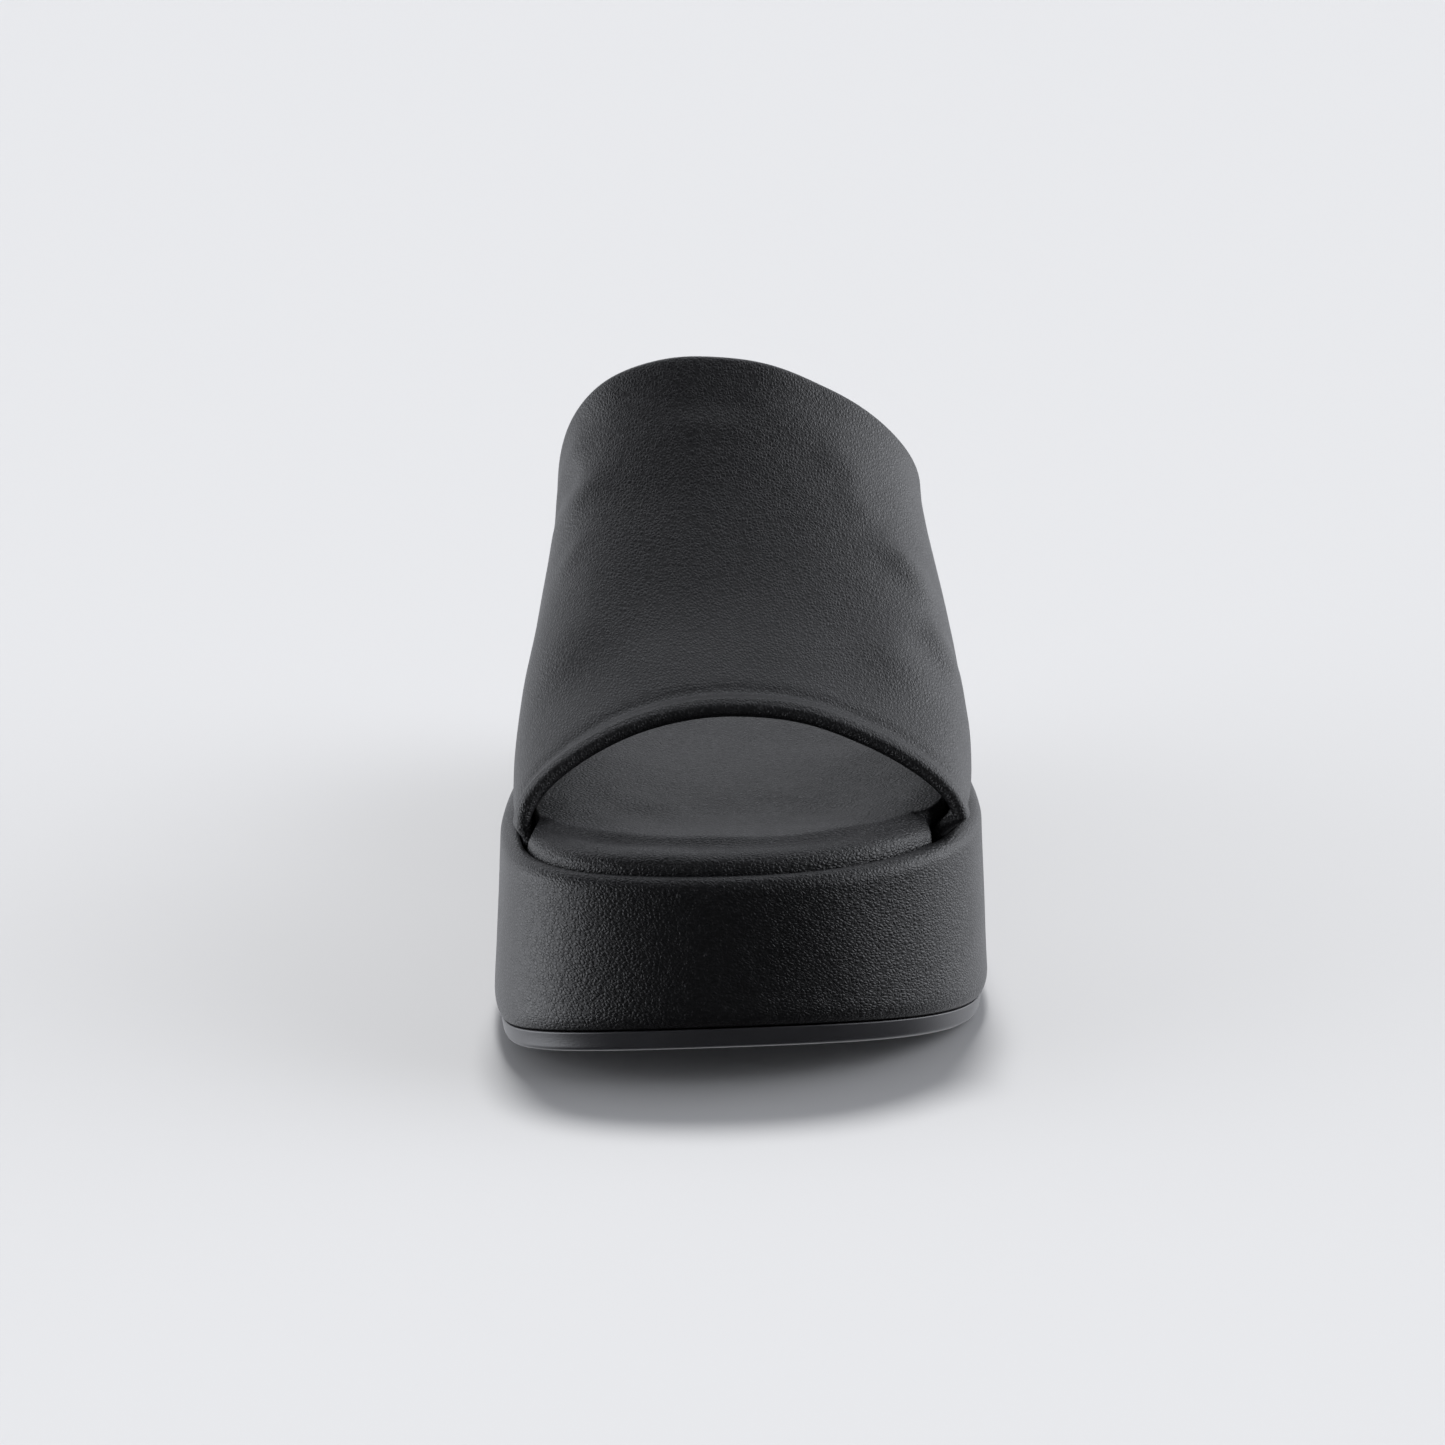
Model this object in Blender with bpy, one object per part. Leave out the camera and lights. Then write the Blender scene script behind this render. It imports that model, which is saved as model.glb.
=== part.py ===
"""A left platform mule for Blender 4.5, in metres: outsole, wrapped platform, padded insole, upper.

The toe points to -Y, the outer side of the foot is +X, and the sole stands on Z = 0.
"""

import math

import bmesh
import bpy
import numpy as np

# Driving sizes of the whole shoe
SHOE_LENGTH = 0.252
BALL_WIDTH = 0.0958
FOREFOOT_HEIGHT = 0.0403
HEEL_HEIGHT = 0.0600
INSTEP_HEIGHT = 0.1156
TOE_SPRING = 0.0082

# Sole: where its underside and its top leave the level, measured back from the toe tip
SPRING_START = 0.055
SPRING_SKEW = 0.12
HEEL_RISE_START = 0.084
HEEL_RISE_END = 0.206
WAIST_START = 0.098
WAIST_END = 0.180
WAIST_RELIEF = 0.0020
HEEL_BEVEL_RUN = 0.012
HEEL_BEVEL_RISE = 0.0022

# Outsole: a thin rubber sheet, set in from the leather above it
OUTSOLE_THICKNESS = 0.0038
OUTSOLE_SETBACK = 0.0009
OUTSOLE_EDGE_DRAFT = 0.0005
OUTSOLE_EDGE_BEVEL = 0.0010

# Platform: the leather-wrapped block, with a rolled rim round a tray for the insole
PLATFORM_FLARE = 0.0014
PLATFORM_FOOT_TUCK = 0.0012
PLATFORM_FOOT_RADIUS = 0.0030
RIM_WIDTH = 0.0035
RIM_RADIUS = 0.0029
RIM_INNER_RADIUS = 0.0007
TRAY_DEPTH = 0.0060

# Upper: one hollow band of lined leather that stands in the tray's edge. Its toe edge and its
# collar each run over the foot from the inner side, and are given where they stand and on top.
UPPER_WALL = 0.0024
UPPER_EDGE_ROLL = 0.0030
UPPER_ROLL_REACH = 0.0060
TOE_EDGE_MEDIAL = 0.0280
TOE_EDGE_TOP = 0.0405
TOE_EDGE_LATERAL = 0.0335
COLLAR_MEDIAL = 0.1370
COLLAR_TOP = 0.1190
COLLAR_LATERAL = 0.1340
TOE_EDGE_SWEEP = 2.0
COLLAR_SWEEP = 0.9

# Insole: a padded sock with a roll round its edge and a raised bed for the foot, which runs on
# under the upper's walls and narrows behind them
PAD_SEAM_DROP = 0.0010
PAD_ROLL_HEIGHT = 0.0042
PAD_ROLL_WIDTH = 0.0075
PAD_ROLL_FALL = 0.0090
PAD_VALLEY_HEIGHT = 0.0020
BED_HEIGHT = 0.0047
BED_FRONT = 0.0150
BED_OVERRUN = 0.0030
BED_SEAT_INSET = 0.0085
BED_NARROW_START = 0.085
BED_NARROW_END = 0.145
BED_EDGE = 0.0060
BED_DISH = 0.0016
BED_BLEND = 0.0014
BED_MEDIAL_DEPTH = 0.030
BED_LATERAL_DEPTH = 0.048
BED_CREST_SHIFT = -0.005

# What separate pieces keep between them
GAP = 0.0003

# How finely the pieces are meshed
RING_POINTS = 84
OUTLINE_SAMPLES = 1008
UPPER_STEPS_ACROSS = 48
UPPER_STEPS_ALONG = 18
EDGE_ROLL_STEPS = 4

# The platform's outline from above. Across is a share of half the ball width, positive on the
# outer side, and back is a share of the shoe's length from the toe tip.
OUTLINE = (
    dict(place="toe tip", across=-0.200, back=0.0000),
    dict(place="toe, outer front", across=0.200, back=0.0095),
    dict(place="toe, outer corner", across=0.525, back=0.0364),
    dict(place="fourth toe", across=0.790, back=0.083),
    dict(place="little toe", across=0.950, back=0.140),
    dict(place="outer ball", across=1.000, back=0.295),
    dict(place="outer waist", across=0.880, back=0.520),
    dict(place="outer seat", across=0.755, back=0.740),
    dict(place="outer heel", across=0.700, back=0.865),
    dict(place="heel, outer corner", across=0.490, back=0.962),
    dict(place="heel end", across=0.010, back=1.000),
    dict(place="heel, inner corner", across=-0.480, back=0.960),
    dict(place="inner heel", across=-0.680, back=0.862),
    dict(place="inner seat", across=-0.710, back=0.740),
    dict(place="inner waist", across=-0.790, back=0.530),
    dict(place="inner joint", across=-0.935, back=0.345),
    dict(place="inner ball", across=-0.992, back=0.215),
    dict(place="big toe", across=-0.969, back=0.110),
    dict(place="toe, inner side", across=-0.897, back=0.0592),
    dict(place="toe, inner corner", across=-0.727, back=0.0226),
    dict(place="toe, inner front", across=-0.500, back=0.0052),
)

# The upper's cross-sections. Back is a share of the length. Rise is the ridge's height over the
# forefoot rim and waist that of the widest line, as shares of the instep's. Ridge, medial and
# lateral give where the ridge and the widest lines lie, in half ball widths, and the two full
# columns are the exponents of the curves between them.
SECTIONS = (
    dict(back=0.105, rise=0.262, waist=0.040, ridge=0.00, medial=0.880, lateral=0.885,
         medial_full=2.00, lateral_full=1.80),
    dict(back=0.159, rise=0.313, waist=0.048, ridge=-0.02, medial=0.908, lateral=0.915,
         medial_full=2.00, lateral_full=1.80),
    dict(back=0.223, rise=0.402, waist=0.085, ridge=-0.05, medial=0.915, lateral=0.945,
         medial_full=2.20, lateral_full=1.95),
    dict(back=0.283, rise=0.508, waist=0.150, ridge=-0.09, medial=0.900, lateral=0.940,
         medial_full=2.45, lateral_full=2.10),
    dict(back=0.342, rise=0.638, waist=0.220, ridge=-0.12, medial=0.865, lateral=0.908,
         medial_full=2.45, lateral_full=2.15),
    dict(back=0.402, rise=0.790, waist=0.340, ridge=-0.15, medial=0.822, lateral=0.864,
         medial_full=2.35, lateral_full=2.00),
    dict(back=0.472, rise=0.995, waist=0.560, ridge=-0.18, medial=0.774, lateral=0.782,
         medial_full=2.20, lateral_full=1.75),
    dict(back=0.550, rise=1.220, waist=0.750, ridge=-0.19, medial=0.745, lateral=0.758,
         medial_full=2.10, lateral_full=1.75),
)
RIDGE_FULL = 2.05

HALF_WIDTH = BALL_WIDTH / 2
INSTEP_RISE = INSTEP_HEIGHT - FOREFOOT_HEIGHT
RIM_INSET = PLATFORM_FLARE + RIM_WIDTH
FEATHER_INSET = RIM_INSET + GAP


def spline(stations, values):
    """A natural cubic spline through a table's column, as a function of the station."""
    x, y = np.asarray(stations, float), np.asarray(values, float)
    step = np.diff(x)
    system, right = np.eye(len(x)), np.zeros(len(x))
    for i in range(1, len(x) - 1):
        system[i, i - 1 : i + 2] = step[i - 1], 2 * (step[i - 1] + step[i]), step[i]
        right[i] = 6 * ((y[i + 1] - y[i]) / step[i] - (y[i] - y[i - 1]) / step[i - 1])
    bend = np.linalg.solve(system, right)

    def at(station):
        s = np.clip(station, x[0], x[-1])
        k = np.clip(np.searchsorted(x, s) - 1, 0, len(x) - 2)
        a, b = (x[k + 1] - s) / step[k], (s - x[k]) / step[k]
        curve = (a**3 - a) * bend[k] + (b**3 - b) * bend[k + 1]
        return a * y[k] + b * y[k + 1] + curve * step[k] ** 2 / 6

    return at


def ease(value, start, end):
    """0 before start and 1 after end, with a smooth turn between them."""
    t = np.clip((value - start) / (end - start), 0, 1)
    return t * t * (3 - 2 * t)


def dense_outline():
    """The platform's outline as closely spaced (x, back) points, once round from the toe tip."""
    rows = OUTLINE[-3:] + OUTLINE + OUTLINE[:4]
    across = np.array([row["across"] for row in rows]) * HALF_WIDTH
    back = np.array([row["back"] for row in rows]) * SHOE_LENGTH
    chord = np.concatenate([[0], np.cumsum(np.hypot(np.diff(across), np.diff(back)))])
    round_trip = np.linspace(chord[3], chord[3 + len(OUTLINE)], OUTLINE_SAMPLES + 1)
    x, y = spline(chord, across)(round_trip), spline(chord, back)(round_trip)
    length = np.concatenate([[0], np.cumsum(np.hypot(np.diff(x), np.diff(y)))])
    even = np.linspace(0, length[-1], OUTLINE_SAMPLES, endpoint=False)
    return np.stack([np.interp(even, length, x), np.interp(even, length, y)], axis=1)


OUTLINE_POINTS = dense_outline()
BACK_TO_Y = -(OUTLINE_POINTS[:, 1].max() + OUTLINE_POINTS[:, 1].min()) / 2
X_SHIFT = -(OUTLINE_POINTS[:, 0].max() + OUTLINE_POINTS[:, 0].min()) / 2


def inset_outline(inset):
    """The outline moved inwards by inset, which is one length or one for each point."""
    ahead, behind = np.roll(OUTLINE_POINTS, -1, axis=0), np.roll(OUTLINE_POINTS, 1, axis=0)
    along = ahead - behind
    inward = np.stack([-along[:, 1], along[:, 0]], axis=1)
    inward /= np.linalg.norm(inward, axis=1, keepdims=True)
    return OUTLINE_POINTS + inward * np.reshape(inset, (-1, 1))


def side_edge(inset, side):
    """For the inset outline, x on the medial (-1) or lateral (+1) side as a function of back."""
    points = inset_outline(inset)
    toe, heel = points[:, 1].argmin(), points[:, 1].argmax()
    turned = np.roll(points, -toe, axis=0)
    turn = (heel - toe) % len(points)
    half = turned[: turn + 1] if side > 0 else np.concatenate([turned[turn:], turned[:1]])[::-1]
    return lambda back: np.interp(back, half[:, 1], half[:, 0])


def underside(x, back):
    """Height of the outsole's underside: toe spring, waist relief and the heel's bevelled end."""
    toe = TOE_SPRING * np.clip(1 - (back - SPRING_SKEW * x) / SPRING_START, 0, 1.04) ** 2
    middle, half = (WAIST_START + WAIST_END) / 2, (WAIST_END - WAIST_START) / 2
    waist = WAIST_RELIEF * np.clip(1 - ((back - middle) / half) ** 2, 0, None) ** 2
    bevel_start = SHOE_LENGTH - HEEL_BEVEL_RUN
    heel = HEEL_BEVEL_RISE * np.clip((back - bevel_start) / HEEL_BEVEL_RUN, 0, None) ** 2
    return toe + waist + heel


def outsole_top(x, back):
    return underside(x, back) + OUTSOLE_THICKNESS


def platform_foot(x, back):
    """Height of the platform's underside, which lies on the outsole."""
    return outsole_top(x, back) + GAP


def rim_height(x, back):
    """Height of the platform's rim, level under the forefoot and raised at the heel."""
    rise = HEEL_HEIGHT - FOREFOOT_HEIGHT
    return FOREFOOT_HEIGHT + rise * ease(back, HEEL_RISE_START, HEEL_RISE_END)


def tray_floor(x, back):
    return rim_height(x, back) - TRAY_DEPTH


def raised(height, lift):
    return lambda x, back: height(x, back) + lift


def ring(inset, height):
    """A ring of points round the shoe: the inset outline at a height given by a function."""
    points = inset_outline(inset)[:: OUTLINE_SAMPLES // RING_POINTS]
    return np.column_stack([points, height(points[:, 0], points[:, 1])])


def shrunk(outer, share, height):
    """A ring part of the way from an outer ring to the shoe's middle line."""
    ends = 0.16 * SHOE_LENGTH, 0.87 * SHOE_LENGTH
    middle = np.column_stack([np.zeros(len(outer)), np.clip(outer[:, 1], *ends)])
    points = outer[:, :2] + (middle - outer[:, :2]) * share
    return np.column_stack([points, height(points[:, 0], points[:, 1])])


def placed(points):
    """Points of (x, back, z) in the shoe's own frame."""
    return points + np.array([X_SHIFT, BACK_TO_Y, 0.0])


def finish_piece(name, builder, material, sharp_angle):
    mesh = bpy.data.meshes.new(name)
    bmesh.ops.triangulate(builder, faces=builder.faces[:])
    bmesh.ops.recalc_face_normals(builder, faces=builder.faces[:])
    builder.to_mesh(mesh)
    builder.free()
    mesh.shade_smooth()
    mesh.set_sharp_from_angle(angle=math.radians(sharp_angle))
    mesh.materials.append(material)
    piece = bpy.data.objects.new(name, mesh)
    bpy.context.scene.collection.objects.link(piece)
    return piece


def join_loops(builder, loops):
    """Faces between each closed loop of vertices and the next."""
    for first, second in zip(loops, loops[1:]):
        for i in range(len(first)):
            j = (i + 1) % len(first)
            builder.faces.new((first[i], first[j], second[j], second[i]))


def ring_solid(name, rings, material, sharp_angle):
    """A closed solid through rings. Rungs from side to side close the first ring and the last."""
    builder = bmesh.new()
    loops = [[builder.verts.new(point) for point in placed(points)] for points in rings]
    join_loops(builder, loops)
    for loop in (loops[0], loops[-1]):
        for i in range(len(loop) // 2):
            corners = [loop[i], loop[i + 1], loop[-i - 1], loop[-i]]
            builder.faces.new(list(dict.fromkeys(corners)))
    return finish_piece(name, builder, material, sharp_angle)


def make_material(name, colour, roughness):
    material = bpy.data.materials.new(name)
    material.use_nodes = True
    shader = material.node_tree.nodes["Principled BSDF"]
    shader.inputs["Base Color"].default_value = (*colour, 1.0)
    shader.inputs["Roughness"].default_value = roughness
    shader.inputs["Metallic"].default_value = 0.0
    return material


# Outsole


def build_outsole(material):
    edge_inset = OUTSOLE_SETBACK + OUTSOLE_EDGE_DRAFT
    foot = ring(edge_inset + OUTSOLE_EDGE_BEVEL, underside)
    lid = ring(OUTSOLE_SETBACK, outsole_top)
    rings = [
        shrunk(foot, 0.80, underside),
        shrunk(foot, 0.40, underside),
        foot,
        ring(edge_inset, raised(underside, OUTSOLE_EDGE_BEVEL)),
        lid,
        shrunk(lid, 0.40, outsole_top),
        shrunk(lid, 0.80, outsole_top),
    ]
    return ring_solid("outsole", rings, material, 35)


# Platform


def build_platform(material):
    foot = ring(PLATFORM_FOOT_TUCK, platform_foot)
    floor = ring(RIM_INSET, tray_floor)
    rings = [shrunk(foot, 0.80, platform_foot), shrunk(foot, 0.40, platform_foot), foot]
    for turn in (0.35, 0.70, 1.0):
        angle = turn * math.pi / 2
        tuck = PLATFORM_FOOT_TUCK * (1 - math.sin(angle))
        lift = PLATFORM_FOOT_RADIUS * (1 - math.cos(angle))
        rings.append(ring(tuck, raised(platform_foot, lift)))
    low = raised(platform_foot, PLATFORM_FOOT_RADIUS)
    shoulder = raised(rim_height, -RIM_RADIUS)
    for share in (0.35, 0.70):
        blend = lambda x, back, s=share: (1 - s) * low(x, back) + s * shoulder(x, back)
        rings.append(ring(PLATFORM_FLARE * share, blend))
    for turn in (0.0, 0.25, 0.50, 0.75, 1.0):
        angle = turn * math.pi / 2
        inset = PLATFORM_FLARE + RIM_RADIUS * (1 - math.cos(angle))
        rings.append(ring(inset, raised(shoulder, RIM_RADIUS * math.sin(angle))))
    rings.append(ring(RIM_INSET, raised(rim_height, -RIM_INNER_RADIUS)))
    rings += [floor, shrunk(floor, 0.40, tray_floor), shrunk(floor, 0.80, tray_floor)]
    return ring_solid("platform", rings, material, 50)


# Insole


def upper_cover(points):
    """1 where the upper stands beside the insole, 0 at the toe and at the heel."""
    lateral = points[:, 0] > 0
    front = np.where(lateral, TOE_EDGE_LATERAL, TOE_EDGE_MEDIAL) - UPPER_WALL
    end = np.where(lateral, COLLAR_LATERAL, COLLAR_MEDIAL) + UPPER_WALL
    turn = UPPER_EDGE_ROLL
    back = points[:, 1]
    return ease(back, front - turn, front) * (1 - ease(back, end, end + turn))


def insole_edge():
    """The insole's outline: close to the rim, and set in further where the upper's wall stands."""
    beside_wall = UPPER_WALL + GAP
    cover = upper_cover(inset_outline(FEATHER_INSET + beside_wall))
    return inset_outline(FEATHER_INSET + cover * beside_wall)


INSOLE_EDGE = insole_edge()


def edge_distance(x, back):
    """How far points of the insole lie from its edge."""
    points = np.column_stack([x, back])
    apart = points[:, None, :] - INSOLE_EDGE[None, ::4, :]
    return np.hypot(apart[..., 0], apart[..., 1]).min(axis=1)


def bed_depth(x, back):
    """How far points lie inside the foot-shaped bed, whose front is a rounded U."""
    lateral = x > BED_CREST_SHIFT
    half_bed = HALF_WIDTH - FEATHER_INSET + BED_OVERRUN
    reach = np.where(lateral, half_bed - BED_CREST_SHIFT, half_bed + BED_CREST_SHIFT)
    share = np.clip(np.abs(x - BED_CREST_SHIFT) / reach, 0, 1)
    depth = np.where(lateral, BED_LATERAL_DEPTH, BED_MEDIAL_DEPTH)
    front = BED_FRONT + depth * (1 - np.sqrt(1 - share**2))
    narrow = (BED_SEAT_INSET + BED_OVERRUN) * ease(back, BED_NARROW_START, BED_NARROW_END)
    return np.minimum(back - front, edge_distance(x, back) + BED_OVERRUN - narrow)


def insole_top(x, back):
    """Height of the insole: the roll at its edge, the valley behind it and the raised bed."""
    inside = edge_distance(x, back)
    share = np.clip(inside / PAD_ROLL_WIDTH, 0, 1)
    climb = np.sqrt(1 - (1 - share) ** 2)
    roll = -PAD_SEAM_DROP + (PAD_SEAM_DROP + PAD_ROLL_HEIGHT) * climb
    fall = ease(inside, PAD_ROLL_WIDTH, PAD_ROLL_WIDTH + PAD_ROLL_FALL)
    roll = roll - (PAD_ROLL_HEIGHT - PAD_VALLEY_HEIGHT) * fall
    depth = bed_depth(x, back)
    bed = BED_HEIGHT * ease(depth, -BED_EDGE, BED_EDGE / 2)
    bed = bed - BED_DISH * ease(depth, BED_EDGE / 2, 4 * BED_EDGE)
    blend = np.clip(0.5 + (bed - roll) / BED_BLEND / 2, 0, 1)
    rounded = BED_BLEND * blend * (1 - blend)
    return rim_height(x, back) + bed * blend + roll * (1 - blend) + rounded


def build_insole(material):
    sole = raised(tray_floor, GAP)
    edge = INSOLE_EDGE[:: OUTLINE_SAMPLES // RING_POINTS]
    base = np.column_stack([edge, sole(edge[:, 0], edge[:, 1])])
    seam = np.column_stack([edge, rim_height(edge[:, 0], edge[:, 1]) - PAD_SEAM_DROP])
    rings = [shrunk(base, 0.80, sole), shrunk(base, 0.40, sole), base, seam]
    for share in (0.02, 0.06, 0.12, 0.19, 0.27, 0.35, 0.44, 0.56, 0.70, 0.85):
        rings.append(shrunk(seam, share, insole_top))
    return ring_solid("insole", rings, material, 60)


# Upper


def section_column(name):
    stations = [row["back"] * SHOE_LENGTH for row in SECTIONS]
    return spline(stations, [row[name] for row in SECTIONS])


COLUMN = {name: section_column(name) for name in SECTIONS[0] if name != "back"}
FEATHER_MEDIAL = side_edge(FEATHER_INSET, -1)
FEATHER_LATERAL = side_edge(FEATHER_INSET, 1)


def upper_point(back, turn):
    """The upper's outer surface. Turn runs over the arch from 0, the outer side, to pi."""
    lateral = turn < math.pi / 2
    side = np.where(lateral, 1.0, -1.0)
    from_foot = np.where(lateral, turn, math.pi - turn)
    foot = rim_height(0, back)
    top = FOREFOOT_HEIGHT + COLUMN["rise"](back) * INSTEP_RISE
    waist = FOREFOOT_HEIGHT + COLUMN["waist"](back) * INSTEP_RISE
    ridge = COLUMN["ridge"](back) * HALF_WIDTH
    widest = side * np.where(lateral, COLUMN["lateral"](back), COLUMN["medial"](back)) * HALF_WIDTH
    feather = np.where(lateral, FEATHER_LATERAL(back), FEATHER_MEDIAL(back))
    waist_turn = math.pi / 2 * (waist - foot) / (top - foot + np.abs(widest - ridge))
    low = np.clip(from_foot / waist_turn, 0, 1)
    arc = np.clip((from_foot - waist_turn) / (math.pi / 2 - waist_turn), 0, 1) * math.pi / 2
    full = np.where(lateral, COLUMN["lateral_full"](back), COLUMN["medial_full"](back))
    full = full + (RIDGE_FULL - full) * ease(arc, 0.9, math.pi / 2)
    x_high = ridge + (widest - ridge) * np.cos(arc) ** (2 / full)
    z_high = waist + (top - waist) * np.sin(arc) ** (2 / full)
    x_low = feather + (widest - feather) * ease(low, 0, 1)
    below = from_foot < waist_turn
    x = np.where(below, x_low, x_high)
    return np.stack([x, back, np.where(below, foot + (waist - foot) * low, z_high)], axis=-1)


def edge_line(lateral, top, medial, sweep, turn):
    """Back of an edge that runs over the arch through its two ends and its top."""
    ends = np.where(np.cos(turn) > 0, lateral, medial)
    return ends + (top - ends) * np.sin(turn) ** sweep


def upper_surface(along, turn):
    """The outer surface between the toe edge, along 0, and the collar, along 1."""
    front = edge_line(TOE_EDGE_LATERAL, TOE_EDGE_TOP, TOE_EDGE_MEDIAL, TOE_EDGE_SWEEP, turn)
    collar = edge_line(COLLAR_LATERAL, COLLAR_TOP, COLLAR_MEDIAL, COLLAR_SWEEP, turn)
    return upper_point(front + (collar - front) * along, turn)


def unit(vectors):
    return vectors / np.linalg.norm(vectors, axis=-1, keepdims=True)


def wall_loops():
    """Loops round the thickness of the wall, one for each step over the arch."""
    along, turn = np.meshgrid(
        np.linspace(0, 1, UPPER_STEPS_ALONG + 1),
        np.linspace(0.001, math.pi - 0.001, UPPER_STEPS_ACROSS + 1),
    )
    outer = upper_surface(along, turn)
    step = 2e-4
    run = unit(upper_surface(along + step, turn) - upper_surface(along - step, turn))
    over = unit(upper_surface(along, turn + step) - upper_surface(along, turn - step))
    normal = unit(np.cross(run, over))
    length = np.linalg.norm(outer[:, -1] - outer[:, 0], axis=-1)[:, None]
    to_edge = np.minimum(along, 1 - along) * length
    roll = (UPPER_EDGE_ROLL - UPPER_WALL) * (1 - ease(to_edge, 0, UPPER_ROLL_REACH))
    half_wall = (UPPER_WALL + roll * np.sin(turn))[..., None] / 2
    middle = outer - normal * UPPER_WALL / 2
    skin, lining = middle + normal * half_wall, middle - normal * half_wall
    angles = math.pi * np.arange(1, EDGE_ROLL_STEPS) / EDGE_ROLL_STEPS
    loops = []
    for k in range(len(outer)):
        rounds = []
        for end, way in ((-1, 1), (0, -1)):
            lean = np.outer(np.cos(angles), normal[k, end]) + np.outer(np.sin(angles), run[k, end])
            rounds.append(middle[k, end] + way * lean * half_wall[k, end])
        loops.append(np.concatenate([skin[k], rounds[0], lining[k, ::-1], rounds[1]]))
    return loops


def dropped(loop):
    """A loop at the foot of the arch, moved straight down to just above the tray's floor."""
    return np.column_stack([loop[:, :2], tray_floor(loop[:, 0], loop[:, 1]) + GAP])


def build_upper(material):
    loops = wall_loops()
    loops = [dropped(loops[0]), *loops, dropped(loops[-1])]
    builder = bmesh.new()
    verts = [[builder.verts.new(point) for point in placed(loop)] for loop in loops]
    join_loops(builder, verts)
    rungs, rounds = UPPER_STEPS_ALONG + 1, EDGE_ROLL_STEPS - 1
    for loop in (verts[0], verts[-1]):
        skin, lining = loop[:rungs], loop[rungs + rounds : 2 * rungs + rounds][::-1]
        for i in range(rungs - 1):
            builder.faces.new((skin[i], skin[i + 1], lining[i + 1], lining[i]))
        builder.faces.new((skin[-1], *loop[rungs : rungs + rounds], lining[-1]))
        builder.faces.new((lining[0], *loop[2 * rungs + rounds :], skin[0]))
    return finish_piece("upper", builder, material, 60)


def main():
    for obj in list(bpy.data.objects):
        bpy.data.objects.remove(obj, do_unlink=True)
    build_outsole(make_material("black_rubber", (0.018, 0.018, 0.019), 0.62))
    build_platform(make_material("black_wrap_leather", (0.014, 0.014, 0.016), 0.48))
    build_insole(make_material("black_sock_leather", (0.020, 0.020, 0.023), 0.52))
    build_upper(make_material("black_upper_leather", (0.017, 0.017, 0.019), 0.46))


main()
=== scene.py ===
"""A left platform mule in black leather on a pale studio floor, for Blender 4.5, in metres.

The toe points to -Y, the outer side of the foot is +X, and the sole stands on Z = 0.
"""

import math

import bpy
import numpy as np
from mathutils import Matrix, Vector, noise


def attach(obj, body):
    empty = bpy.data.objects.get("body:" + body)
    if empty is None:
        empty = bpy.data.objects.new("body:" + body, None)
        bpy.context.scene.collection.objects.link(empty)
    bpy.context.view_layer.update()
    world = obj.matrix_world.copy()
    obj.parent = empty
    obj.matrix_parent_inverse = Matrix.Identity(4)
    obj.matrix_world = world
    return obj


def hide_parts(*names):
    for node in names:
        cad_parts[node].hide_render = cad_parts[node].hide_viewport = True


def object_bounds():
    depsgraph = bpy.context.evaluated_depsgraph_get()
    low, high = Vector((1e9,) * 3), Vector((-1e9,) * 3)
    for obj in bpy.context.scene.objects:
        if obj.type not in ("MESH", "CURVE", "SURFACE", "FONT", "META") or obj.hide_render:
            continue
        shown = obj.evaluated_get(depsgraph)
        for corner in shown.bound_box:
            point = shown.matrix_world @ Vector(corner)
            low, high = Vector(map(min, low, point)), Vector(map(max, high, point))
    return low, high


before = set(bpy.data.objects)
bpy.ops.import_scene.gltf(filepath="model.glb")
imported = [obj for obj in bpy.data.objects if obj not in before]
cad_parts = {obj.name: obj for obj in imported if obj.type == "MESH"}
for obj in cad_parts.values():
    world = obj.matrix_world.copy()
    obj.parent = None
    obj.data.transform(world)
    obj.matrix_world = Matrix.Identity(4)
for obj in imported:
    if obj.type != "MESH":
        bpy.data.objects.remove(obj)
cad_low, cad_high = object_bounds()


# Studio
# A wide sheet of pale paper lies under the shoe. The light is a white tent: bright panels at both
# sides, overhead and behind, and a dark opening in front where the camera stands.

CAMERA_TO_TOE = 1.1019
CAMERA_HEIGHT = 0.3666
CAMERA_X = -0.00385
CAMERA_ELEVATION = 15.0
CAMERA_LENS = 153.57
KEY_STRENGTH = 2.9
KEY_SPREAD = 16.0
KEY_ELEVATION = 55.0
KEY_TURN = 2.0
PAPER_RADIUS = 12.0
PAPER_CORNERS = 96
PAPER_COLOUR = (0.595, 0.595, 0.60)
TENT_COLOUR = (0.93, 0.95, 1.0)
OPENING_GLOW = 0.02
DOME_GLOW = 1.05
DOME_EDGES = (-0.08, 0.78)
DOME_FADE = 0.3
DOME_FADE_EDGES = (0.7, 1.0)
LEFT_GLOW = 3.1
LEFT_EDGES = (0.6, 1.0)
LEFT_LEAN = 0.1
LEFT_FADE = 0.6
LEFT_FADE_HEIGHTS = (0.1, 0.6)
RIGHT_GLOW = 2.9
RIGHT_EDGES = (0.45, 0.95)
RIGHT_DEPTH_EDGES = (-0.75, 0.0)
RIGHT_HEIGHTS = (-0.3, 0.2)


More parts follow.
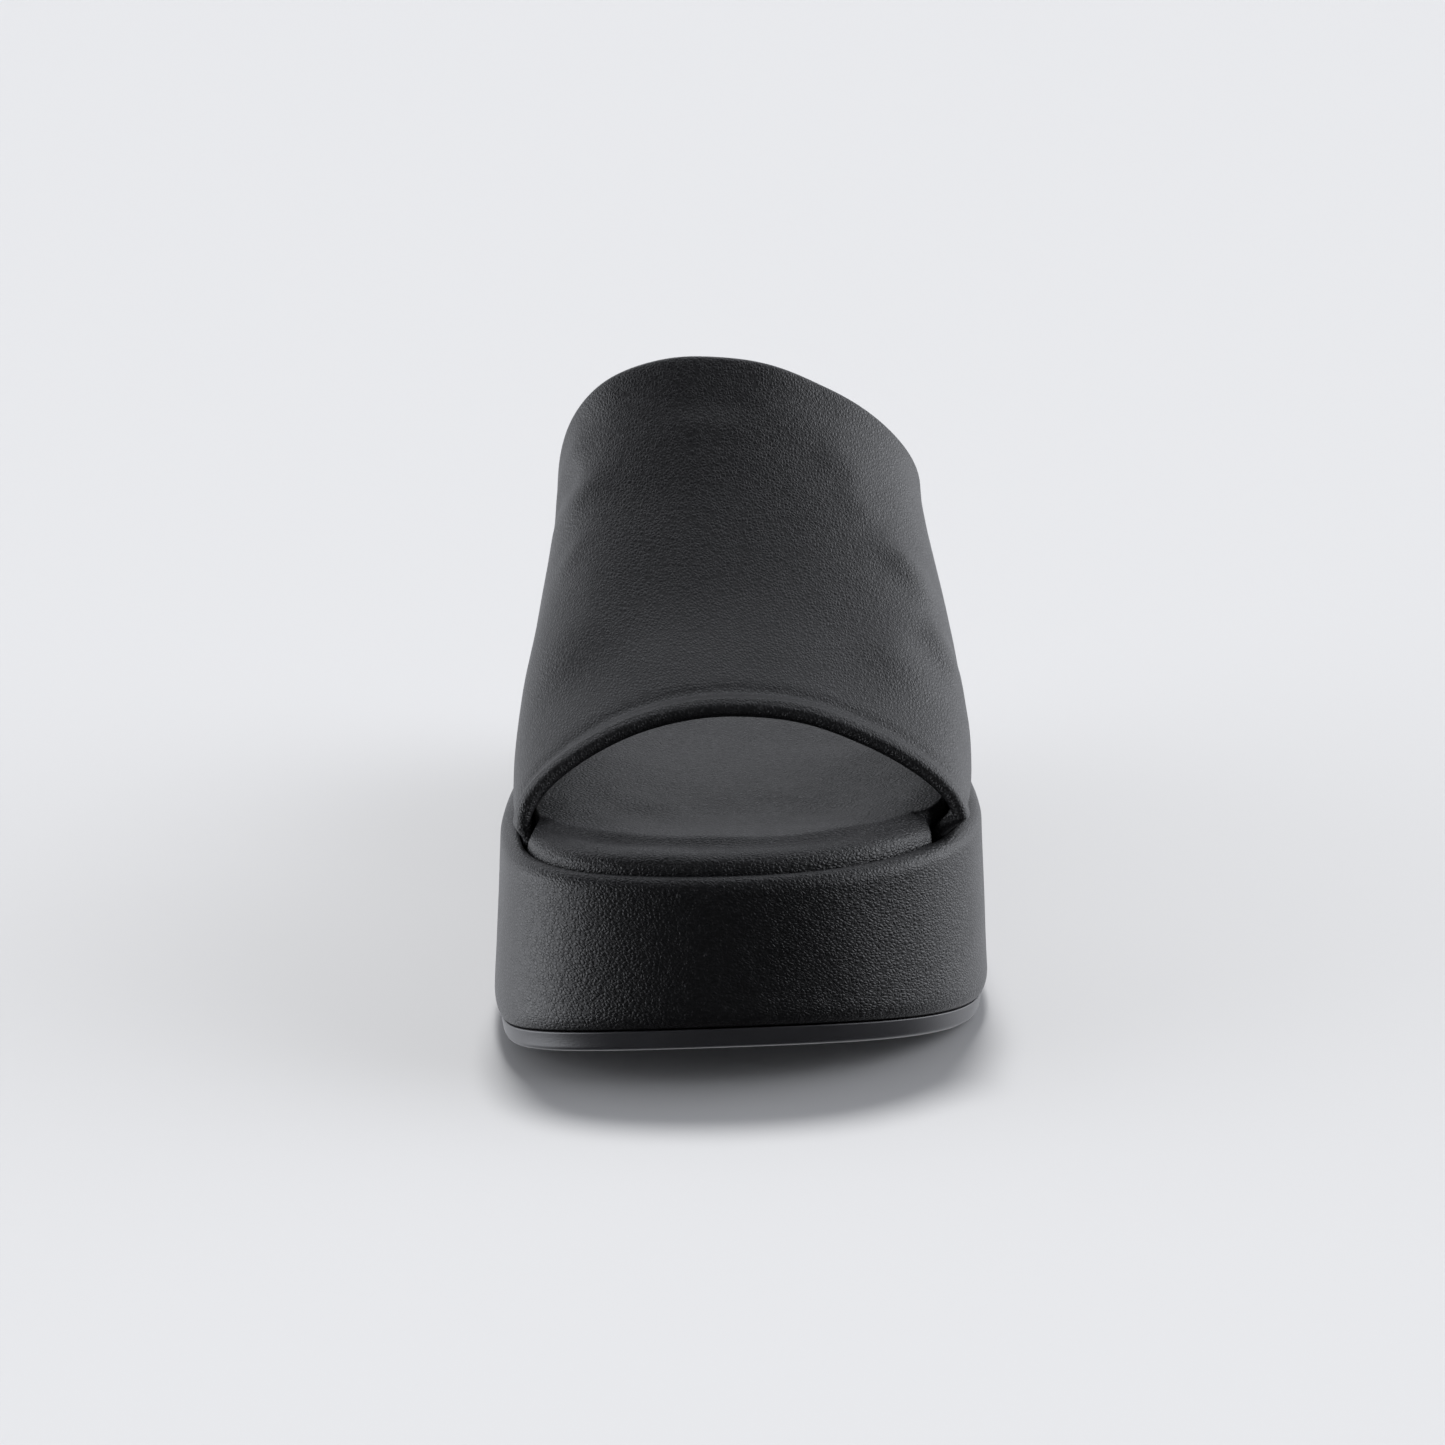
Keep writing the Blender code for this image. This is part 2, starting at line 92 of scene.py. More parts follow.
class Socket:
    """A shader socket that takes part in sums: each operator adds a Math node."""

    def __init__(self, tree, socket):
        self.tree, self.socket = tree, socket

    def maths(self, operation, *values):
        return add_node(self.tree, "ShaderNodeMath", values, operation=operation)

    def __add__(self, other):
        return self.maths("ADD", self, other)

    def __sub__(self, other):
        return self.maths("SUBTRACT", self, other)

    def __rsub__(self, other):
        return self.maths("SUBTRACT", other, self)

    def __mul__(self, other):
        return self.maths("MULTIPLY", self, other)

    def __abs__(self):
        return self.maths("ABSOLUTE", self)

    __radd__ = __add__
    __rmul__ = __mul__

    def between(self, low, high):
        """0 below low and 1 above high, with a smooth turn between them."""
        values = [self, low, high, 0.0, 1.0]
        return add_node(self.tree, "ShaderNodeMapRange", values, interpolation_type="SMOOTHSTEP")


def add_node(tree, kind, values=(), output=0, **settings):
    """Adds a node, sets it up, gives its sockets their values or links, and returns an output."""
    node = tree.nodes.new(kind)
    for name, value in settings.items():
        setattr(node, name, value)
    pairs = values.items() if isinstance(values, dict) else enumerate(values)
    for key, value in pairs:
        if isinstance(value, Socket):
            tree.links.new(value.socket, node.inputs[key])
        else:
            node.inputs[key].default_value = value
    return Socket(tree, node.outputs[output])


camera = bpy.data.objects.new("camera", bpy.data.cameras.new("camera"))
bpy.context.scene.collection.objects.link(camera)
camera.location = (CAMERA_X, cad_low.y - CAMERA_TO_TOE, CAMERA_HEIGHT)
camera.rotation_euler = (math.radians(90 - CAMERA_ELEVATION), 0, 0)
camera.data.sensor_width = 36
camera.data.lens = CAMERA_LENS
camera.data.clip_end = 60
bpy.context.scene.camera = camera

paper_mesh = bpy.data.meshes.new("paper")
angles = np.linspace(0, 2 * math.pi, PAPER_CORNERS, endpoint=False)
corners = [(math.cos(a) * PAPER_RADIUS, math.sin(a) * PAPER_RADIUS, 0) for a in angles]
paper_mesh.from_pydata(corners, [], [list(range(PAPER_CORNERS))])
paper = bpy.data.objects.new("paper", paper_mesh)
bpy.context.scene.collection.objects.link(paper)
paper_material = bpy.data.materials.new("pale_paper")
paper_material.use_nodes = True
paper_shader = paper_material.node_tree.nodes["Principled BSDF"]
paper_shader.inputs["Base Color"].default_value = (*PAPER_COLOUR, 1)
paper_shader.inputs["Roughness"].default_value = 0.9
paper_shader.inputs["Specular IOR Level"].default_value = 0.1
paper_mesh.materials.append(paper_material)
paper.visible_glossy = False

world = bpy.data.worlds.new("tent")
world.use_nodes = True
bpy.context.scene.world = world
sky = world.node_tree
way = add_node(sky, "ShaderNodeTexCoord", output="Generated")
way_x, way_y, way_z = (add_node(sky, "ShaderNodeSeparateXYZ", [way], output=k) for k in range(3))
left_panel = (0.0 - way_x - LEFT_LEAN * way_y).between(*LEFT_EDGES)
left_panel = left_panel * (1.0 - LEFT_FADE * way_z.between(*LEFT_FADE_HEIGHTS))
right_panel = way_x.between(*RIGHT_EDGES) * way_y.between(*RIGHT_DEPTH_EDGES)
right_panel = right_panel * way_z.between(*RIGHT_HEIGHTS)
dome = way_y.between(*DOME_EDGES) * (1.0 - DOME_FADE * way_y.between(*DOME_FADE_EDGES))
glow = OPENING_GLOW + DOME_GLOW * dome + LEFT_GLOW * left_panel + RIGHT_GLOW * right_panel
background = sky.nodes["Background"]
background.inputs["Color"].default_value = (*TENT_COLOUR, 1)
sky.links.new(glow.socket, background.inputs["Strength"])
bpy.context.scene.view_settings.view_transform = "Standard"

key = bpy.data.objects.new("key", bpy.data.lights.new("key", "SUN"))
bpy.context.scene.collection.objects.link(key)
key.data.energy = KEY_STRENGTH
key.data.angle = math.radians(KEY_SPREAD)
key.visible_glossy = False
key.rotation_euler = (math.radians(KEY_ELEVATION - 90), 0, math.radians(KEY_TURN))


# Outsole
# A sheet of black rubber a few millimetres thick, cut a little inside the leather above it and
# cemented on. Its underside has a plain border round a sunk field of fine cross ribs.

SHOE_LENGTH = 0.252
BALL_WIDTH = 0.0958
HALF_WIDTH = BALL_WIDTH / 2
TOE_SPRING = 0.0082
SPRING_START = 0.055
SPRING_SKEW = 0.12
SPRING_LIMIT = 1.04
WAIST_START = 0.098
WAIST_END = 0.180
WAIST_RELIEF = 0.0020
HEEL_BEVEL_RUN = 0.012
HEEL_BEVEL_RISE = 0.0022
OUTSOLE_THICKNESS = 0.0038
OUTSOLE_SETBACK = 0.0009
OUTSOLE_EDGE_DRAFT = 0.0005
OUTSOLE_EDGE_BEVEL = 0.0010
OUTSOLE_TOP_ROUND = 0.0002
GAP = 0.0003
TREAD_BORDER = 0.0045
TREAD_BORDER_ROUND = 0.0003
TREAD_DEPTH = 0.0007
TREAD_PITCH = 0.0030
TREAD_WIDTH = 0.0018
TREAD_TOP_SHARE = 0.6
TREAD_FIRST = 0.009
TREAD_LAST = 0.008
RIB_POINTS = 15
FIELD_SHARES = (0.85, 0.6, 0.3, 0.02)
LID_SHARES = (0.05, 0.3, 0.6, 0.85)
MIDDLE_LINE_ENDS = (0.16, 0.87)
BEVEL_STEPS = 6

RUBBER_DARK = (0.022, 0.022, 0.025)
RUBBER_DUSTY = (0.042, 0.042, 0.047)
RUBBER_ROUGHNESS = 0.28
RUBBER_GLOSS = 1.0
DUST_ROUGHNESS = 0.2
DUST_SCALE = 70.0
TOOTH_SCALE = 2600.0
TOOTH_STRENGTH = 0.35
TOOTH_DEPTH = 0.0001

OUTLINE = (
    dict(place="toe tip", across=-0.200, back=0.0000),
    dict(place="toe, outer front", across=0.200, back=0.0095),
    dict(place="toe, outer corner", across=0.525, back=0.0364),
    dict(place="fourth toe", across=0.790, back=0.083),
    dict(place="little toe", across=0.950, back=0.140),
    dict(place="outer ball", across=1.000, back=0.295),
    dict(place="outer waist", across=0.880, back=0.520),
    dict(place="outer seat", across=0.755, back=0.740),
    dict(place="outer heel", across=0.700, back=0.865),
    dict(place="heel, outer corner", across=0.490, back=0.962),
    dict(place="heel end", across=0.010, back=1.000),
    dict(place="heel, inner corner", across=-0.480, back=0.960),
    dict(place="inner heel", across=-0.680, back=0.862),
    dict(place="inner seat", across=-0.710, back=0.740),
    dict(place="inner waist", across=-0.790, back=0.530),
    dict(place="inner joint", across=-0.935, back=0.345),
    dict(place="inner ball", across=-0.992, back=0.215),
    dict(place="big toe", across=-0.969, back=0.110),
    dict(place="toe, inner side", across=-0.897, back=0.0592),
    dict(place="toe, inner corner", across=-0.727, back=0.0226),
    dict(place="toe, inner front", across=-0.500, back=0.0052),
)
OUTLINE_SAMPLES = 2016
RING_POINTS = 336


def spline(stations, values):
    """A natural cubic spline through a table's column, as a function of the station."""
    x, y = np.asarray(stations, float), np.asarray(values, float)
    step = np.diff(x)
    system, right = np.eye(len(x)), np.zeros(len(x))
    for i in range(1, len(x) - 1):
        system[i, i - 1 : i + 2] = step[i - 1], 2 * (step[i - 1] + step[i]), step[i]
        right[i] = 6 * ((y[i + 1] - y[i]) / step[i] - (y[i] - y[i - 1]) / step[i - 1])
    bend = np.linalg.solve(system, right)

    def at(station):
        s = np.clip(station, x[0], x[-1])
        k = np.clip(np.searchsorted(x, s) - 1, 0, len(x) - 2)
        a, b = (x[k + 1] - s) / step[k], (s - x[k]) / step[k]
        curve = (a**3 - a) * bend[k] + (b**3 - b) * bend[k + 1]
        return a * y[k] + b * y[k + 1] + curve * step[k] ** 2 / 6

    return at


def ease(value, start, end):
    """0 before start and 1 after end, with a smooth turn between them."""
    t = np.clip((value - start) / (end - start), 0, 1)
    return t * t * (3 - 2 * t)


def dense_outline():
    """The sole's outline as closely spaced (x, back) points, once round from the toe tip."""
    rows = OUTLINE[-3:] + OUTLINE + OUTLINE[:4]
    across = np.array([row["across"] for row in rows]) * HALF_WIDTH
    back = np.array([row["back"] for row in rows]) * SHOE_LENGTH
    chord = np.concatenate([[0], np.cumsum(np.hypot(np.diff(across), np.diff(back)))])
    round_trip = np.linspace(chord[3], chord[3 + len(OUTLINE)], OUTLINE_SAMPLES + 1)
    x, y = spline(chord, across)(round_trip), spline(chord, back)(round_trip)
    length = np.concatenate([[0], np.cumsum(np.hypot(np.diff(x), np.diff(y)))])
    even = np.linspace(0, length[-1], OUTLINE_SAMPLES, endpoint=False)
    return np.stack([np.interp(even, length, x), np.interp(even, length, y)], axis=1)


OUTLINE_POINTS = dense_outline()
BACK_TO_Y = -(OUTLINE_POINTS[:, 1].max() + OUTLINE_POINTS[:, 1].min()) / 2
X_SHIFT = -(OUTLINE_POINTS[:, 0].max() + OUTLINE_POINTS[:, 0].min()) / 2


def inset_outline(inset):
    """The outline moved inwards by inset, which is one length or one for each point."""
    ahead, before = np.roll(OUTLINE_POINTS, -2, axis=0), np.roll(OUTLINE_POINTS, 2, axis=0)
    along = ahead - before
    inward = np.stack([-along[:, 1], along[:, 0]], axis=1)
    inward /= np.linalg.norm(inward, axis=1, keepdims=True)
    return OUTLINE_POINTS + inward * np.reshape(inset, (-1, 1))


def side_edge(inset, side):
    """For the inset outline, x on the medial (-1) or lateral (+1) side as a function of back."""
    points = inset_outline(inset)
    toe, heel = points[:, 1].argmin(), points[:, 1].argmax()
    turned = np.roll(points, -toe, axis=0)
    turn = (heel - toe) % len(points)
    half = turned[: turn + 1] if side > 0 else np.concatenate([turned[turn:], turned[:1]])[::-1]
    return lambda back: np.interp(back, half[:, 1], half[:, 0])


def underside(x, back):
    """Height of the sole's underside: toe spring, waist relief and the heel's bevelled end."""
    rise = np.clip(1 - (back - SPRING_SKEW * x) / SPRING_START, 0, SPRING_LIMIT)
    toe = TOE_SPRING * rise**2
    middle, half = (WAIST_START + WAIST_END) / 2, (WAIST_END - WAIST_START) / 2
    waist = WAIST_RELIEF * np.clip(1 - ((back - middle) / half) ** 2, 0, None) ** 2
    bevel_start = SHOE_LENGTH - HEEL_BEVEL_RUN
    heel = HEEL_BEVEL_RISE * np.clip((back - bevel_start) / HEEL_BEVEL_RUN, 0, None) ** 2
    return toe + waist + heel


def raised(height, lift):
    """The height function, lifted by a length."""
    return lambda x, back: height(x, back) + lift


def ring(inset, height):
    """A ring of points round the shoe: the inset outline at a height given by a function."""
    points = inset_outline(inset)[:: OUTLINE_SAMPLES // RING_POINTS]
    return np.column_stack([points, height(points[:, 0], points[:, 1])])


def shrunk(outer, share, height):
    """A ring part of the way from an outer ring to the shoe's middle line."""
    first, last = (end * SHOE_LENGTH for end in MIDDLE_LINE_ENDS)
    middle = np.column_stack([np.zeros(len(outer)), np.clip(outer[:, 1], first, last)])
    points = outer[:, :2] + (middle - outer[:, :2]) * share
    return np.column_stack([points, height(points[:, 0], points[:, 1])])


def placed(points):
    """Points of (x, back, z) in the shoe's own frame."""
    return points + np.array([X_SHIFT, BACK_TO_Y, 0.0])


def new_piece(name, points, faces, materials, face_materials=None):
    """A smooth mesh piece that rides on the shoe."""
    mesh = bpy.data.meshes.new(name)
    mesh.from_pydata(points.tolist(), [], faces)
    for material in materials:
        mesh.materials.append(material)
    if face_materials is not None:
        mesh.polygons.foreach_set("material_index", face_materials)
    mesh.shade_smooth()
    mesh.update()
    piece = bpy.data.objects.new(name, mesh)
    bpy.context.scene.collection.objects.link(piece)
    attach(piece, "root")
    return piece


def ring_faces(count, rings):
    """Quads between rings of count points, and rungs that close the first and the last ring."""
    faces = []
    for r in range(rings - 1):
        low, high = r * count, (r + 1) * count
        faces += [
            (low + i, low + (i + 1) % count, high + (i + 1) % count, high + i)
            for i in range(count)
        ]
    top = (rings - 1) * count
    for i in range(count // 2):
        rung = [i, i + 1, (count - i - 1) % count, (count - i) % count]
        faces.append(list(dict.fromkeys(rung))[::-1])
        faces.append([top + k for k in dict.fromkeys(rung)])
    return faces


def new_material(name, colour, roughness, gloss):
    """A new material with its node tree and its shader."""
    material = bpy.data.materials.new(name)
    material.use_nodes = True
    shader = material.node_tree.nodes["Principled BSDF"]
    shader.inputs["Base Color"].default_value = (*colour, 1)
    shader.inputs["Roughness"].default_value = roughness
    shader.inputs["Specular IOR Level"].default_value = gloss
    return material, material.node_tree, shader


def black_rubber():
    """Dull moulded rubber: a fine matt tooth and a little dust in the colour."""
    material, tree, shader = new_material(
        "black_rubber", RUBBER_DARK, RUBBER_ROUGHNESS, RUBBER_GLOSS
    )
    place = add_node(tree, "ShaderNodeTexCoord", output="Object")
    tooth = add_node(
        tree, "ShaderNodeTexNoise", {"Vector": place, "Scale": TOOTH_SCALE, "Detail": 2.0}
    )
    dust = add_node(
        tree, "ShaderNodeTexNoise", {"Vector": place, "Scale": DUST_SCALE, "Detail": 4.0}
    )
    rough = RUBBER_ROUGHNESS + DUST_ROUGHNESS * dust
    tree.links.new(rough.socket, shader.inputs["Roughness"])
    colour = add_node(
        tree,
        "ShaderNodeMix",
        {0: dust, 6: (*RUBBER_DARK, 1), 7: (*RUBBER_DUSTY, 1)},
        output=2,
        data_type="RGBA",
    )
    tree.links.new(colour.socket, shader.inputs["Base Color"])
    bump = add_node(
        tree,
        "ShaderNodeBump",
        {"Height": tooth, "Strength": TOOTH_STRENGTH, "Distance": TOOTH_DEPTH},
    )
    tree.links.new(bump.socket, shader.inputs["Normal"])
    return material


def outsole_top(x, back):
    """Height of the sheet's upper face."""
    return underside(x, back) + OUTSOLE_THICKNESS


def outsole_rings():
    """Rings from the middle of the tread field over the border and the edge to the lid."""
    sunk, edge = raised(underside, TREAD_DEPTH), OUTSOLE_SETBACK + OUTSOLE_EDGE_DRAFT
    field = ring(edge + TREAD_BORDER + TREAD_DEPTH, sunk)
    rings = [shrunk(field, share, sunk) for share in FIELD_SHARES]
    rings += [field, ring(edge + TREAD_BORDER, underside)]
    rings += [ring(edge + TREAD_BORDER - TREAD_BORDER_ROUND, underside)]
    for angle in np.linspace(0, math.pi / 2, BEVEL_STEPS):
        inset = edge + OUTSOLE_EDGE_BEVEL * (1 - math.sin(angle))
        rings.append(ring(inset, raised(underside, OUTSOLE_EDGE_BEVEL * (1 - math.cos(angle)))))
    lid = ring(OUTSOLE_SETBACK + OUTSOLE_TOP_ROUND, outsole_top)
    below_top = raised(outsole_top, -2 * OUTSOLE_TOP_ROUND)
    rings += [ring(OUTSOLE_SETBACK + OUTSOLE_TOP_ROUND / 2, below_top)]
    rings += [ring(OUTSOLE_SETBACK, raised(outsole_top, -OUTSOLE_TOP_ROUND)), lid]
    return rings + [shrunk(lid, share, outsole_top) for share in LID_SHARES]


rubber = black_rubber()
outsole_list = outsole_rings()
outsole = new_piece(
    "outsole_rubber",
    placed(np.concatenate(outsole_list)),
    ring_faces(RING_POINTS, len(outsole_list)),
    [rubber],
)
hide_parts("outsole")


def tread_paths():
    """Lines across the sunk field, from border to border."""
    inset = OUTSOLE_SETBACK + OUTSOLE_EDGE_DRAFT + TREAD_BORDER
    left, right = (side_edge(inset, side) for side in (-1, 1))
    points, edges = [], []
    for back in np.arange(TREAD_FIRST, SHOE_LENGTH - TREAD_LAST, TREAD_PITCH):
        across = np.linspace(left(back), right(back), RIB_POINTS)
        level = np.full(RIB_POINTS, back)
        height = underside(across, level) + TREAD_DEPTH / 2
        start = len(points)
        points += list(np.column_stack([across, level, height]))
        edges += [(start + i, start + i + 1) for i in range(RIB_POINTS - 1)]
    return placed(np.array(points)), edges


def tread_tree(material):
    """Geometry Nodes that turn each line into a rib with a flat foot and sloping sides."""
    tree = bpy.data.node_groups.new("tread_ribs", "GeometryNodeTree")
    face = tree.interface
    face.new_socket("Lines", in_out="INPUT", socket_type="NodeSocketGeometry")
    face.new_socket("Rib width", in_out="INPUT", socket_type="NodeSocketFloat")
    face.new_socket("Rib depth", in_out="INPUT", socket_type="NodeSocketFloat")
    face.new_socket("Ribs", in_out="OUTPUT", socket_type="NodeSocketGeometry")
    inlet, outlet = tree.nodes.new("NodeGroupInput"), tree.nodes.new("NodeGroupOutput")
    curve = add_node(tree, "GeometryNodeMeshToCurve")
    profile = add_node(tree, "GeometryNodeCurvePrimitiveQuadrilateral", mode="TRAPEZOID")
    shape = profile.socket.node.inputs
    shape["Offset"].default_value = 0.0
    sweep = add_node(
        tree,
        "GeometryNodeCurveToMesh",
        {"Curve": curve, "Profile Curve": profile, "Fill Caps": True},
    )
    real = add_node(tree, "GeometryNodeRealizeInstances", [sweep])
    finish = add_node(tree, "GeometryNodeSetMaterial", {"Geometry": real, "Material": material})
    width = Socket(tree, inlet.outputs["Rib width"])
    depth = Socket(tree, inlet.outputs["Rib depth"])
    tree.links.new(inlet.outputs["Lines"], curve.socket.node.inputs["Mesh"])
    tree.links.new(width.socket, shape["Bottom Width"])
    top_width = width * TREAD_TOP_SHARE
    tree.links.new(top_width.socket, shape["Top Width"])
    tree.links.new(depth.socket, shape["Height"])
    tree.links.new(finish.socket, outlet.inputs["Ribs"])
    return tree


tread_points, tread_edges = tread_paths()
tread_mesh = bpy.data.meshes.new("tread_lines")
tread_mesh.from_pydata(tread_points.tolist(), tread_edges, [])
tread_lines = bpy.data.objects.new("tread_lines", tread_mesh)
bpy.context.scene.collection.objects.link(tread_lines)
ribs = tread_lines.modifiers.new("ribs", "NODES")
ribs.node_group = tread_tree(rubber)
for item in ribs.node_group.interface.items_tree:
    if item.in_out == "INPUT" and item.name == "Rib width":
        ribs[item.identifier] = TREAD_WIDTH
    if item.in_out == "INPUT" and item.name == "Rib depth":
        ribs[item.identifier] = TREAD_DEPTH
bpy.context.view_layer.update()
shown_lines = tread_lines.evaluated_get(bpy.context.evaluated_depsgraph_get())
made_mesh = bpy.data.meshes.new_from_object(shown_lines)
made_mesh.materials.clear()
made_mesh.materials.append(rubber)
bpy.data.objects.remove(tread_lines)
tread = bpy.data.objects.new("tread_ribs", made_mesh)
bpy.context.scene.collection.objects.link(tread)
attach(tread, "root")


# Platform
# A light block wrapped in one skin of soft black leather, which is pulled round the bottom edge
# and rolled over the top into a rim. The leather has a small grain, stretched along the sides.

FOREFOOT_HEIGHT = 0.0403
HEEL_HEIGHT = 0.0600
HEEL_RISE_START = 0.084
HEEL_RISE_END = 0.206
PLATFORM_FLARE = 0.0014
PLATFORM_FOOT_TUCK = 0.0012
PLATFORM_FOOT_RADIUS = 0.0030
RIM_WIDTH = 0.0035
RIM_RADIUS = 0.0029
RIM_INNER_RADIUS = 0.0007
RIM_INSET = PLATFORM_FLARE + RIM_WIDTH
RIM_ROUND = 0.0002
RIM_INNER_RINGS = 4
TRAY_DEPTH = 0.0060
SOLE_SHARES = (0.85, 0.6, 0.3, 0.05)
FOOT_STEPS = 9
SIDE_STEPS = 24
RIM_STEPS = 10
WRAP_WAVE_SIZE = 0.018
WRAP_WAVE_HEIGHT = 0.00022
WRAP_WAVE_SEED = 3.1
WRAP_WAVE_FADE = (0.001, 0.006)
WRAP_MIDDLE_ENDS = (0.045, 0.215)

GRAIN_DRIFT = 0.9
GRAIN_DRIFT_RATE = 0.4
GRAIN_VALLEY = 0.34
PORE_RATE = 4.0
CREASE_RATE = 0.22
CREASE_WIDTH = 0.045
PATCH_SCALE = 42.0
PATCH_ROUGHNESS = 0.12
VALLEY_ROUGHNESS = 0.10
# Painted shade in the grain: how much lighter the pebble tops and darker the valleys are coloured.
LIGHT_SHARE = 1.5
DARK_SHARE = 0.5


def black_leather(name, colour, roughness, gloss, grain, lie, stretch, depth):
    """Soft semi-gloss leather: pebbles of the grain's size, fine creases and a few worn patches.
    Its colour has painted shade, dark in the grain's valleys and light on the pebble tops, and it
    also varies at random with the patches.
    """
    material, tree, shader = new_material(name, colour, roughness, gloss)
    place = add_node(tree, "ShaderNodeTexCoord", output="Object")
    turned = add_node(
        tree,
        "ShaderNodeMapping",
        {"Vector": place, "Rotation": [math.radians(a) for a in lie], "Scale": stretch},
        vector_type="TEXTURE",
    )
    drift = add_node(
        tree,
        "ShaderNodeTexNoise",
        {"Vector": place, "Scale": GRAIN_DRIFT_RATE / grain, "Detail": 1.0},
        output=1,
    )
    drift = add_node(
        tree, "ShaderNodeVectorMath", {0: drift, 1: (0.5, 0.5, 0.5)}, operation="SUBTRACT"
    )
    drift = add_node(
        tree, "ShaderNodeVectorMath", {0: drift, "Scale": GRAIN_DRIFT * grain}, operation="SCALE"
    )
    skin = add_node(tree, "ShaderNodeVectorMath", {0: turned, 1: drift}, operation="ADD")
    valleys = add_node(
        tree,
        "ShaderNodeTexVoronoi",
        {"Vector": skin, "Scale": 1 / grain},
        feature="DISTANCE_TO_EDGE",
    )
    pebbles = valleys.between(0.0, GRAIN_VALLEY)
    centres = add_node(tree, "ShaderNodeTexVoronoi", {"Vector": skin, "Scale": 1 / grain})
    pores = add_node(
        tree,
        "ShaderNodeTexNoise",
        {"Vector": skin, "Scale": PORE_RATE / grain, "Detail": 3.0},
    )
    creases = add_node(
        tree,
        "ShaderNodeTexNoise",
        {"Vector": turned, "Scale": CREASE_RATE / grain, "Detail": 4.0, "Distortion": 0.6},
    )
    folds = abs(creases - 0.5).between(0.0, CREASE_WIDTH)
    patches = add_node(
        tree, "ShaderNodeTexNoise", {"Vector": place, "Scale": PATCH_SCALE, "Detail": 3.0}
    )
    height = 0.75 * pebbles + 0.45 * (1.0 - centres) + 0.06 * pores + 0.30 * folds
    bump = add_node(tree, "ShaderNodeBump", {"Height": height, "Strength": 1.0, "Distance": depth})
    tree.links.new(bump.socket, shader.inputs["Normal"])
    rough = roughness + PATCH_ROUGHNESS * (patches - 0.5) + VALLEY_ROUGHNESS * (1.0 - pebbles)
    tree.links.new(rough.socket, shader.inputs["Roughness"])
    # Painted shade: the base colour goes dark in the grain's valleys and light on the pebble tops,
    # and the worn patches change it at random.
    light = tuple(c * LIGHT_SHARE for c in colour)
    dark = tuple(c * DARK_SHARE for c in colour)
    grain_shade_and_patch_tint = add_node(
        tree,
        "ShaderNodeMix",
        {0: 0.6 * pebbles + 0.4 * patches, 6: (*dark, 1), 7: (*light, 1)},
        output=2,
        data_type="RGBA",
    )
    tree.links.new(grain_shade_and_patch_tint.socket, shader.inputs["Base Color"])
    return material


def platform_foot(x, back):
    """Height of the wrapped block's underside."""
    return outsole_top(x, back) + GAP


def rim_height(x, back):
    """Height of the rim, which climbs from the ball of the foot to the heel."""
    rise = HEEL_HEIGHT - FOREFOOT_HEIGHT
    return FOREFOOT_HEIGHT + rise * ease(back, HEEL_RISE_START, HEEL_RISE_END)


def tray_floor(x, back):
    """Height of the tray's floor inside the rim."""
    return rim_height(x, back) - TRAY_DEPTH


def platform_rings():
    """Rings from the middle of the underside over the foot, the side and the rim to the tray."""
    foot, floor = ring(PLATFORM_FOOT_TUCK, platform_foot), ring(RIM_INSET, tray_floor)
    rings = [shrunk(foot, share, platform_foot) for share in SOLE_SHARES]
    for angle in np.linspace(0, math.pi / 2, FOOT_STEPS):
        tuck = PLATFORM_FOOT_TUCK * (1 - math.sin(angle))
        lift = PLATFORM_FOOT_RADIUS * (1 - math.cos(angle))
        rings.append(ring(tuck, raised(platform_foot, lift)))
    low = raised(platform_foot, PLATFORM_FOOT_RADIUS)
    shoulder = raised(rim_height, -RIM_RADIUS)
    for share in np.linspace(0, 1, SIDE_STEPS)[1:-1]:
        blend = lambda x, back, s=share: (1 - s) * low(x, back) + s * shoulder(x, back)
        rings.append(ring(PLATFORM_FLARE * share, blend))
    for angle in np.linspace(0, math.pi / 2, RIM_STEPS):
        inset = PLATFORM_FLARE + RIM_RADIUS * (1 - math.cos(angle))
        rings.append(ring(inset, raised(shoulder, RIM_RADIUS * math.sin(angle))))
    rings.append(ring(RIM_INSET - RIM_ROUND, raised(rim_height, -0.75 * RIM_ROUND)))
    rings.append(ring(RIM_INSET, raised(rim_height, -RIM_INNER_RADIUS)))
    rings += [ring(RIM_INSET, raised(rim_height, -TRAY_DEPTH / 2)), floor]
    return rings + [shrunk(floor, share, tray_floor) for share in LID_SHARES]


def waved(points, size, amount, seed, outward):
    """Points pushed in and out by soft waves of one size, as hand-pulled leather lies."""
    offset = Vector((seed, seed * 0.7, seed * 1.3))
    push = [noise.noise(Vector(p) / size + offset) for p in points]
    return points + outward * (np.array(push) * amount)[:, None]


def side_push(points, rings):
    """For each point, the way out of the shoe on the platform's sides and nothing elsewhere."""
    middle = np.column_stack([np.zeros(len(points)), np.clip(points[:, 1], *WRAP_MIDDLE_ENDS)])
    outward = points[:, :2] - middle
    outward /= np.linalg.norm(outward, axis=1, keepdims=True) + 1e-9
    above_foot = points[:, 2] - platform_foot(points[:, 0], points[:, 1])
    under, inside_rim = len(SOLE_SHARES), RIM_INNER_RINGS + len(LID_SHARES)
    on_side = [0.0] * under + [1.0] * (rings - under - inside_rim) + [0.0] * inside_rim
    share = ease(above_foot, *WRAP_WAVE_FADE) * np.repeat(on_side, RING_POINTS)
    return np.column_stack([outward, np.zeros(len(points))]) * share[:, None]


